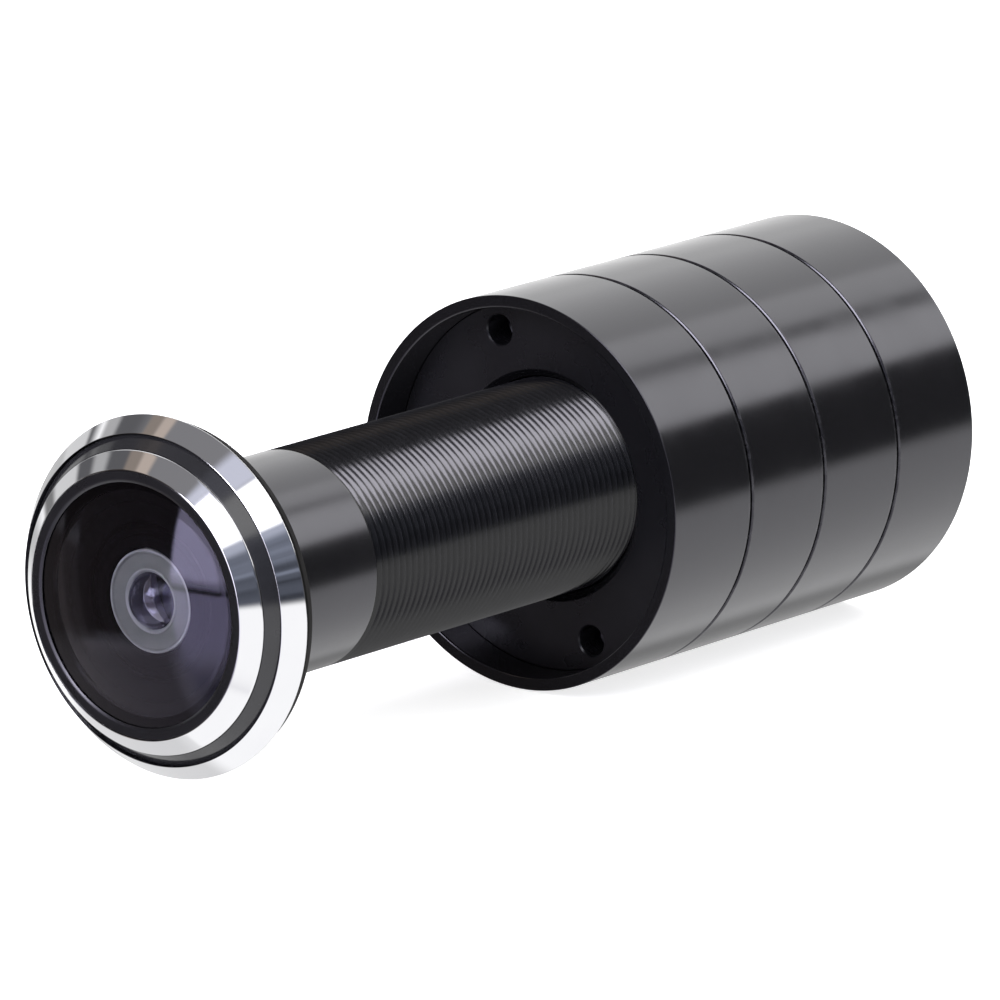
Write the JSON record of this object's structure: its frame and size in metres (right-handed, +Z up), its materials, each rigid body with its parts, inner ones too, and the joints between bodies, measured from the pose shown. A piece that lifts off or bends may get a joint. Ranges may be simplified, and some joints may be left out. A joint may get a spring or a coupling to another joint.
{
  "type": "door viewer",
  "caption": "Wired camera door viewer: polished round bezel with a wide-angle lens, a threaded barrel through the door and a round housing that clamps it.",
  "frame": {"origin": "on the axis, at the door's outer face, which the gasket rests on", "axes": "+Y along the axis, from the bezel outdoors to the housing indoors; +Z up"},
  "size_m": [0.0338, 0.0924, 0.0338],
  "materials": {
    "polished_chrome": "mirror polished",
    "band_black": "charcoal satin band",
    "black_anodised": "satin black anodised",
    "lens_glass": "polished, coated",
    "infrared_glass": "polished",
    "black_rubber": "matte",
    "black_plastic": "matte moulded",
    "board_green": "solder mask",
    "chip_black": "moulded epoxy",
    "brass": "turned",
    "steel": "turned",
    "socket_white": "moulded",
    "capacitor_sleeve": "sleeve"
  },
  "bodies": {
    "viewer": {"barrel": "black_anodised", "bezel_flange": "polished_chrome", "threaded_nipple": "steel", "accent_band": "band_black", "bezel_cap": "polished_chrome", "lens_retaining_ring": "black_anodised", "door_gasket": "black_rubber", "front_lens": "lens_glass", "lens_seal": "black_rubber", "front_baffle": "black_plastic", "lens_cell": "black_anodised", "second_lens": "lens_glass", "front_spacer": "black_anodised", "third_lens": "lens_glass", "rear_spacer": "black_anodised", "infrared_filter": "infrared_glass", "image_sensor": "chip_black", "sensor_board": "board_green", "sensor_retaining_ring": "black_anodised", "sensor_socket": "socket_white", "sensor_harness": "black_plastic"},
    "board_slide": {"board_carrier": "black_plastic", "main_board": "board_green", "image_processor": "chip_black", "power_inductor": "chip_black", "filter_capacitor": "capacitor_sleeve", "output_connector": "socket_white", "board_socket": "socket_white", "standoff_1": "brass", "standoff_2": "brass", "standoff_3": "brass", "board_screw_1": "steel", "board_screw_2": "steel", "board_screw_3": "steel"},
    "housing": {"front_plate": "black_anodised", "rear_cap": "black_anodised", "cable_grommet": "black_rubber", "housing_ring_1": "black_anodised", "housing_ring_2": "black_anodised", "housing_ring_3": "black_anodised", "housing_ring_4": "black_anodised", "cap_screw_1": "steel", "cap_screw_2": "steel", "cap_screw_3": "steel"}
  },
  "joints": [
    {"name": "clamp_travel", "type": "slide", "parent": "viewer", "child": "board_slide", "axis": [0, -1, 0], "range_m": [0, 0.009]},
    {"name": "clamp_turn", "type": "hinge", "parent": "board_slide", "child": "housing", "pos_m": [0, 0.06, 0], "axis": [0, -1, 0], "range_deg": [0, 4320]}
  ],
  "couplings": [
    {"joint": "clamp_travel", "follows": "clamp_turn", "m_per_rad": 0.00011937}
  ]
}
